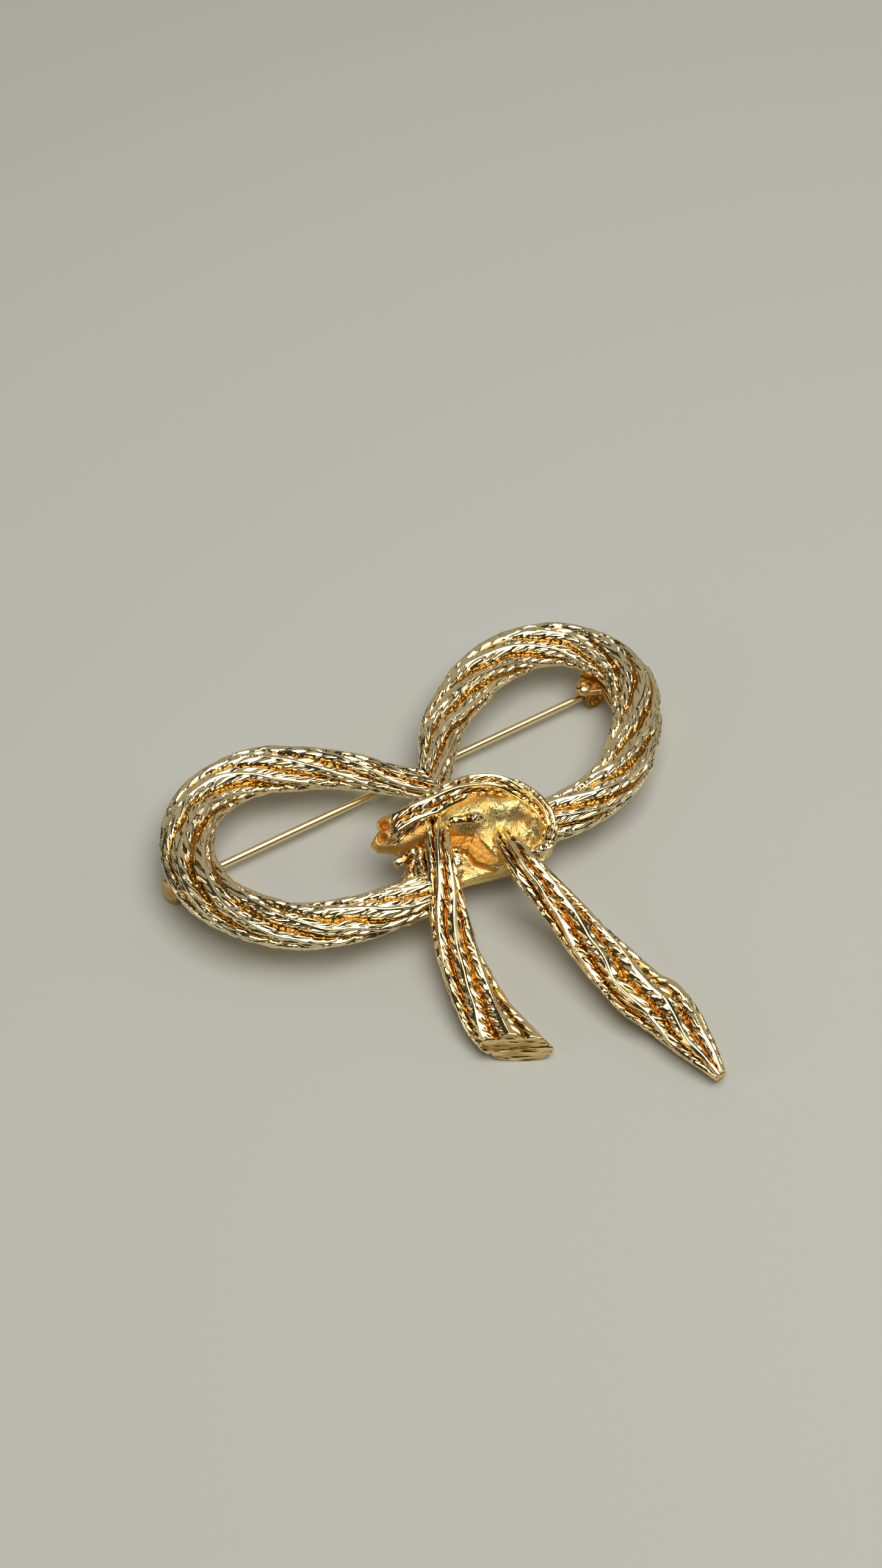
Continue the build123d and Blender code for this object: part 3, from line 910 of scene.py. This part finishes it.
class Shells:
    """Closed shells in millimetres, melted into one cast or soldered skin."""

    def __init__(self):
        self.mesh = bmesh.new()

    def hull(self, points):
        """The tight closed shell around points."""
        part = bmesh.new()
        verts = [part.verts.new(point) for point in np.asarray(points).tolist()]
        result = bmesh.ops.convex_hull(part, input=verts)
        loose = {item for item in result["geom_interior"] + result["geom_unused"]
                 if isinstance(item, bmesh.types.BMVert)}
        bmesh.ops.delete(part, geom=list(loose), context="VERTS")
        shell = bpy.data.meshes.new("part")
        part.to_mesh(shell)
        part.free()
        self.mesh.from_mesh(shell)
        bpy.data.meshes.remove(shell)

    def bar(self, start, start_radius, end, end_radius):
        """A round-ended bar, tapering from one radius to the other."""
        start_ball = np.array(start) + start_radius * BALL
        end_ball = np.array(end) + end_radius * BALL
        self.hull(np.vstack([start_ball, end_ball]))

    def chains(self, chains):
        """Round-ended bars along each list of places with radii."""
        for rows in chains:
            for start, end in zip(rows, rows[1:]):
                self.bar(start[:3], start[3], end[:3], end[3])

    def prism(self, corners, shift):
        """A flat outline, moved along shift."""
        corners = np.array(corners, float)
        self.hull(np.vstack([corners, corners + np.array(shift, float)]))

    def ribbon(self, path, thickness, starts, width):
        """A strip bent along a path in Y and Z, that wide along X from its starts."""
        path = np.array(path)
        across = unit(np.gradient(path, axis=0))[:, ::-1] * (1, -1) * thickness / 2
        for k in range(len(path) - 1):
            four = [(starts[j], *(path[j] + way * across[j])) for j in (k, k + 1) for way in (-1, 1)]
            self.prism(four, (width, 0, 0))

    def fuse(self, voxel, smoothing):
        """One skin around all shells: its points, their normals and its faces."""
        mesh = bpy.data.meshes.new("shells")
        self.mesh.to_mesh(mesh)
        self.mesh.free()
        piece = bpy.data.objects.new("shells", mesh)
        bpy.context.scene.collection.objects.link(piece)
        remesh = piece.modifiers.new("remesh", "REMESH")
        remesh.mode = "VOXEL"
        remesh.voxel_size = voxel
        smooth = piece.modifiers.new("smooth", "SMOOTH")
        smooth.iterations = smoothing
        evaluated = piece.evaluated_get(bpy.context.evaluated_depsgraph_get())
        fused = bpy.data.meshes.new_from_object(evaluated)
        points = np.array([vertex.co for vertex in fused.vertices])
        normals = np.array([vertex.normal for vertex in fused.vertices])
        faces = [list(face.vertices) for face in fused.polygons]
        bpy.data.objects.remove(piece)
        bpy.data.meshes.remove(mesh)
        bpy.data.meshes.remove(fused)
        return points, normals, faces


def even_ball():
    """Points spread evenly over a ball of radius 1."""
    step = np.arange(BALL_POINTS) + 0.5
    turn = math.pi * (1 + math.sqrt(5)) * step
    height = 1 - 2 * step / BALL_POINTS
    ring = np.sqrt(1 - height ** 2)
    return np.stack([ring * np.cos(turn), ring * np.sin(turn), height], -1)


BALL = even_ball()


def round_outline(middle, radius, plane_y, start, stop, count=24):
    """Points of an arc about an axis along Y, whose middle is at an X and a Z."""
    x, z = middle
    angles = np.radians(np.linspace(start, stop, count))
    return [(x + radius * math.cos(a), plane_y, z + radius * math.sin(a)) for a in angles]


def flat_outline(middle, radius, z, count=40):
    """Points of a level circle, whose middle is at an X and a Y."""
    x, y = middle
    angles = np.linspace(0, 2 * math.pi, count, endpoint=False)
    return [(x + radius * math.cos(a), y + radius * math.sin(a), z) for a in angles]


def press(points, depth, place, facing, radius, sunk):
    """A round hollow with a low rim, pressed into points and marked in their depths as painted shade.
    """
    rim_height, rim_place, rim_width = 0.10, 1.25, 0.22
    facing = unit(np.array(facing, float))
    offset = points - place
    along = offset @ facing
    away = np.linalg.norm(offset - along[:, None] * facing, axis=1) / radius
    near = np.abs(along) < 3 * radius
    dish = smoothstep(1.0, 0.55, away) * near
    rim = rim_height * np.exp(-((away - rim_place) / rim_width) ** 2) * near
    shift = rim - dish * np.clip(along + sunk, 0, None)
    # inside the hollow the share is full: painted shade
    return points + shift[:, None] * facing, np.maximum(depth, dish)


def make_hinge():
    """Plate with a dimpled round end and two ears, soldered to the rope's back."""
    shells = Shells()
    disc = (HINGE_REACH - DISC_BEFORE_AXIS, PIN_OFFSET - DISC_BELOW_PIN)
    half = PLATE_WIDTH / 2
    end = HINGE_REACH - PIN_HEIGHT / 2 + PLATE_LENGTH
    plate = flat_outline(disc, PLATE_END_SHARE * DISC_RADIUS, SOLDER_HEIGHT)
    plate += [(disc[0] + PLATE_FAR_START, PIN_OFFSET + half, SOLDER_HEIGHT),
              (end, PIN_OFFSET + half, SOLDER_HEIGHT), (end, PIN_OFFSET - half, SOLDER_HEIGHT),
              (disc[0] + PLATE_NEAR_START, PIN_OFFSET - half, SOLDER_HEIGHT)]
    shells.prism(plate, (0, 0, -PLATE_THICKNESS))
    rings = [flat_outline(disc, share * DISC_RADIUS, SOLDER_HEIGHT + above) for share, above in DISC]
    shells.hull(sum(rings, []))
    ear_radius = EAR_RADIUS_SHARE * PIN_HEIGHT
    ear_top = SOLDER_HEIGHT - EAR_TOP_DROP
    for y in (NEAR_EAR, FAR_EAR):
        ear = round_outline((HINGE_REACH, PIN_HEIGHT), ear_radius, y, *EAR_TURN)
        ear += [(HINGE_REACH + ear_radius, y, ear_top), (HINGE_REACH - EAR_TOP_LEFT, y, ear_top)]
        shells.prism(ear, (0, EAR_THICKNESS, 0))
    shells.chains([[(end + x, y, z, radius) for x, y, z, radius in SOLDER]])
    points, _, faces = shells.fuse(voxel=0.075, smoothing=3)
    # the plate's underside is painted darker orange: painted shade under it
    below_plate = points[:, 2] < SOLDER_HEIGHT - PLATE_THICKNESS
    stains = FINDINGS_STAINS * noise(points, cell=1.0, seed=65)
    depth = HINGE_ORANGE + stains + UNDER_PLATE_SHADE * below_plate
    disc_top = SOLDER_HEIGHT + DISC[-1][1]
    # the disc's dimple and the near ear's recess get painted shade inside
    points, depth = press(points, depth, (*disc, disc_top), (0, 0, 1), DIMPLE_RADIUS, DIMPLE_DEPTH)
    ear_middle = (HINGE_REACH, NEAR_EAR, PIN_HEIGHT)
    points, depth = press(points, depth, ear_middle, (0, -1, 0), EAR_RECESS_RADIUS, EAR_RECESS_DEPTH)
    build_mesh("hinge_bracket", points + BOW_ORIGIN, faces, np.clip(depth, 0, 1), findings_gold,
               "brooch", ["bow"])


def make_rivet():
    """The hinge's rivet: a small head sunk in the near ear and a domed one on the far ear, all dark
    orange as painted shade.
    """
    far_side = FAR_EAR + EAR_THICKNESS
    head = RIVET_HEAD_DIAMETER / 2
    sunk_head = SUNK_HEAD_SHARE * head
    shaft = STEM_DIAMETER / 2
    left = [(NEAR_EAR + SUNK_HEAD_DEPTH + RIVET_HEAD_HEIGHT * step, sunk_head * size)
            for step, size in DOME]
    right = [(far_side + RIVET_HEAD_HEIGHT * (1 - step), head * size) for step, size in DOME]
    steps = left + [(left[-1][0], shaft), (far_side, shaft)] + right[::-1]
    # at depth 1 the whole rivet takes the dark hollow colour: painted shade of its recess
    lathe("rivet", (HINGE_REACH, 0, PIN_HEIGHT), (0, 1, 0), steps, findings_gold, "brooch",
          ["hinge_rivet"], depth=1.0)


def make_catch():
    """A C hook of flat strip, open away from the tails, behind a flat tab at its left end."""
    shells = Shells()
    middle = PIN_HEIGHT - CATCH_WALL / 2
    angles = np.radians(np.linspace(0, HOOK_TURN, 28))
    path = [(PIN_OFFSET - middle * math.sin(a), PIN_HEIGHT + middle * math.cos(a)) for a in angles]
    low = PIN_OFFSET - PIN_HEIGHT
    behind = CATCH_LEFT + TAB_WIDTH * TAB_SLANT

    def start(y):
        return behind + HOOK_SLANT * (y - low)

    shells.ribbon(path, CATCH_WALL, [start(y) for y, _ in path], CATCH_WIDTH)
    inner = 2 * PIN_HEIGHT - CATCH_WALL
    near, far = start(low), start(PIN_OFFSET)
    root = [(near, low, inner), (near + CATCH_WIDTH, low, inner),
            (far + CATCH_WIDTH, PIN_OFFSET, inner), (far, PIN_OFFSET, inner)]
    shells.prism(root, (0, 0, SOLDER_HEIGHT - inner))
    half = TAB_WIDTH / 2
    outline = [(x, z) for x, _, z in round_outline((half, half), half, 0, 180, 360)]
    outline += [(0, SOLDER_HEIGHT), (TAB_WIDTH, SOLDER_HEIGHT)]
    shells.prism([(behind - TAB_SLANT * y, low + y, z) for y, z in outline], (CATCH_WALL, 0, 0))
    points, _, faces = shells.fuse(voxel=0.07, smoothing=5)
    depth = CATCH_ORANGE + FINDINGS_STAINS * noise(points, cell=0.8, seed=67)
    build_mesh("catch_hook", points + BOW_ORIGIN, faces, depth, findings_gold, "brooch", ["bow"])


def make_band_end():
    """The rope's two hollow round ends on the left."""
    shells = Shells()
    shells.chains(HOLLOW_ENDS)
    points, normals, faces = shells.fuse(voxel=0.09, smoothing=4)
    depth = np.full(len(points), BAND_END_ORANGE)
    # painted shade inside the two hollows
    for place, facing, radius, sunk in HOLLOWS:
        points, depth = press(points, depth, place, facing, radius, sunk)
    points = points + normals * BAND_END_GRAIN * noise(points, cell=0.4, seed=63)[:, None]
    build_mesh("band_end", points + BOW_ORIGIN, faces, depth, satin_gold, "brooch", ["bow"])


def make_band_underside():
    """The band's smooth underside at its left end."""
    shells = Shells()
    shells.chains(UNDERSIDE)
    points, normals, faces = shells.fuse(voxel=0.12, smoothing=5)
    points = points + normals * UNDERSIDE_GRAIN * noise(points, cell=0.8, seed=64)[:, None]
    depth = np.full(len(points), UNDERSIDE_ORANGE)
    build_mesh("band_underside", points + BOW_ORIGIN, faces, depth, satin_gold, "brooch", ["bow"])


def make_webs():
    """Lumps and webs of cast metal that join the ropes around the knot, and a white face."""
    shells = Shells()
    shells.chains(WEBS)
    corners = [core_place(*row) for row in WHITE_FACE.corners]
    glint = [(x, y, face_height(WHITE_FACE, x, y) + GLINT_RISE) for x, y in corners]
    shells.prism(glint, (0, 0, -GLINT_THICKNESS))
    points, normals, faces = shells.fuse(voxel=0.11, smoothing=2)
    dents = np.abs(noise(points, cell=1.0, seed=61))
    crumbs = 0.6 * noise(points, cell=0.36, seed=62) + 0.3 * noise(points, cell=0.20, seed=66)
    rough = 0.6 - 1.8 * dents + crumbs
    points = points + normals * WEB_GRAIN * rough[:, None]
    # painted shade in the dents, paler on the raised crumbs
    depth = np.clip(WEB_ORANGE - 0.5 * rough, 0, 1)
    build_mesh("knot_webs", points + BOW_ORIGIN, faces, depth, cast_gold, "brooch", ["bow"])


def make_pin():
    """The pointed wire, and the eye around its rivet."""
    radius = STEM_DIAMETER / 2
    tip = CATCH_LEFT + 2 * CATCH_WALL
    length = HINGE_REACH - EYE_DIAMETER / 2 + radius - tip
    point = [(0, 0.001), (0, STEM_TIP_DIAMETER / 2), (0.75 * STEM_POINT_LENGTH, 0.8 * radius)]
    # rings near both ends of the shaft keep its shading even
    shaft = [(reach, radius) for reach in (STEM_POINT_LENGTH, 1.1 * STEM_POINT_LENGTH,
                                           length - 0.3, length - 0.02)]
    steps = point + shaft + [(length, 0.95 * radius), (length, 0.001)]
    lathe("pin_wire", (tip, PIN_OFFSET, PIN_HEIGHT), (1, 0, 0), steps, pin_gold, "pin", ["pin_stem"])
    bore = radius + RIVET_CLEARANCE
    eye = EYE_DIAMETER / 2
    steps = [(0, bore), (0, eye - EYE_BEVEL), (EYE_BEVEL, eye), (EYE_THICKNESS - EYE_BEVEL, eye),
             (EYE_THICKNESS, eye - EYE_BEVEL), (EYE_THICKNESS, bore), (0, bore)]
    lathe("pin_eye", (HINGE_REACH, PIN_OFFSET - EYE_THICKNESS / 2, PIN_HEIGHT), (0, 1, 0), steps,
          pin_gold, "pin", ["pin_stem"])


def place_camera():
    """The photo's camera."""
    turn, height_angle, roll = np.radians((CAMERA_TURN, CAMERA_HEIGHT_ANGLE, CAMERA_ROLL))
    target = Vector(BOW_ORIGIN + CAMERA_AIM) * MM
    distance = CAMERA_DISTANCE * MM
    level = Vector((math.sin(turn), math.cos(turn), 0))
    look = level * math.cos(height_angle) - Vector((0, 0, math.sin(height_angle)))
    right = look.cross(Vector((0, 0, 1))).normalized()
    up = right.cross(look)
    tilted = right * math.cos(roll) + up * math.sin(roll)
    upright = tilted.cross(look)
    data = bpy.data.cameras.new("camera")
    data.lens = CAMERA_LENS
    data.sensor_width = SENSOR_WIDTH
    data.clip_start = 0.01
    camera = bpy.data.objects.new("camera", data)
    axes = Matrix((tilted, upright, -look)).transposed().to_4x4()
    camera.matrix_world = Matrix.Translation(target - look * distance) @ axes
    bpy.context.scene.collection.objects.link(camera)
    bpy.context.scene.camera = camera


def place_light(name, place, size, radiance, colour):
    """A soft rectangle of light that faces the brooch."""
    data = bpy.data.lights.new(name, "AREA")
    data.shape = "RECTANGLE"
    data.size, data.size_y = size
    data.energy = radiance * math.pi * size[0] * size[1]
    data.color = colour
    light = bpy.data.objects.new(name, data)
    light.location = place
    light.rotation_euler = (-Vector(place)).to_track_quat("-Z", "Y").to_euler()
    bpy.context.scene.collection.objects.link(light)


def make_stage():
    """A plain pale floor, an even room and soft lights."""
    mesh = bpy.data.meshes.new("floor")
    corners = [(x * FLOOR_HALF, y * FLOOR_HALF, 0) for x, y in ((-1, -1), (1, -1), (1, 1), (-1, 1))]
    mesh.from_pydata(corners, [], [(0, 1, 2, 3)])
    floor = bpy.data.objects.new("floor", mesh)
    material = bpy.data.materials.new("floor")
    material.use_nodes = True
    shader = material.node_tree.nodes["Principled BSDF"]
    shader.inputs["Base Color"].default_value = (*FLOOR_COLOUR, 1)
    shader.inputs["Roughness"].default_value = FLOOR_ROUGHNESS
    mesh.materials.append(material)
    bpy.context.scene.collection.objects.link(floor)
    world = bpy.data.worlds.new("room")
    world.use_nodes = True
    world.node_tree.nodes["Background"].inputs["Color"].default_value = (*ROOM_COLOUR, 1)
    world.node_tree.nodes["Background"].inputs["Strength"].default_value = ROOM_STRENGTH
    bpy.context.scene.world = world
    for light in LIGHTS:
        place_light(*light)


make_loops()
make_band()
make_tail("tail_left", LEFT_TAIL_ROWS, LEFT_TAIL_END, LEFT_TAIL_CUT, LEFT_TAIL_TILT, seed=41)
make_tail("tail_right", RIGHT_TAIL_ROWS, RIGHT_TAIL_END, cut=0, end_tilt=0, seed=43)
make_core()
make_band_end()
make_band_underside()
make_webs()
make_hinge()
make_rivet()
make_catch()
make_pin()
make_stage()
place_camera()
bpy.context.scene.view_settings.view_transform = "Standard"
